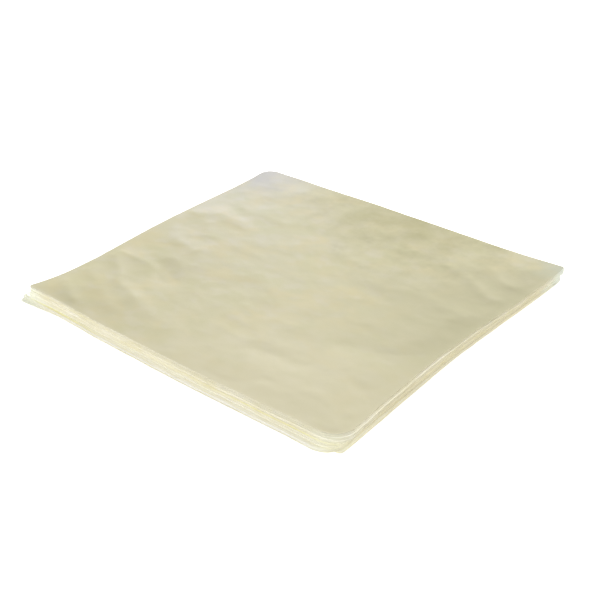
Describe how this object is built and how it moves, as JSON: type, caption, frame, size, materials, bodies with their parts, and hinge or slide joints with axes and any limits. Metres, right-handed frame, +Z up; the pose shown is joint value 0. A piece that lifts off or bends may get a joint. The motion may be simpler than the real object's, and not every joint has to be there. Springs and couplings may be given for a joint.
{
  "type": "stack of spring roll wrappers",
  "caption": "Low stack of thin square wheat dough sheets for spring rolls, out of line in bundles, with a loose wrinkled sheet on top.",
  "frame": {"origin": "middle of the stack's footprint, on the surface it lies on", "axes": "+X to the right along the front edge, +Y to the back, +Z up through the stack"},
  "size_m": [0.2342, 0.2196, 0.012],
  "materials": {
    "stacked_sheets": "pale cream wheat dough, slightly translucent, matt at the cut edges",
    "top_sheet": "cream wheat dough, slightly translucent, satin, with soft wrinkles and a faint mottle"
  },
  "bodies": {
    "root": {"wrapper_01": "stacked_sheets", "wrapper_02": "stacked_sheets", "wrapper_03": "stacked_sheets", "wrapper_04": "stacked_sheets", "wrapper_05": "stacked_sheets", "wrapper_06": "stacked_sheets", "wrapper_07": "stacked_sheets", "wrapper_08": "stacked_sheets", "wrapper_09": "stacked_sheets", "wrapper_10": "stacked_sheets", "wrapper_11": "stacked_sheets", "wrapper_12": "stacked_sheets", "wrapper_13": "stacked_sheets", "wrapper_14": "stacked_sheets", "wrapper_15": "stacked_sheets", "wrapper_16": "stacked_sheets", "wrapper_17": "stacked_sheets", "wrapper_18": "stacked_sheets", "wrapper_19": "stacked_sheets", "wrapper_20": "stacked_sheets", "wrapper_21": "stacked_sheets", "wrapper_22": "stacked_sheets", "wrapper_23": "stacked_sheets", "wrapper_24": "stacked_sheets", "wrapper_25": "stacked_sheets", "wrapper_26": "stacked_sheets", "wrapper_27": "stacked_sheets", "wrapper_28": "stacked_sheets", "wrapper_29": "stacked_sheets", "wrapper_30": "stacked_sheets", "wrapper_31": "stacked_sheets", "wrapper_32": "stacked_sheets", "wrapper_33": "stacked_sheets", "wrapper_34": "stacked_sheets", "wrapper_35": "stacked_sheets", "wrapper_36": "stacked_sheets", "wrapper_37": "stacked_sheets", "wrapper_38": "stacked_sheets", "wrapper_39": "stacked_sheets", "wrapper_40": "top_sheet"}
  },
  "joints": []
}
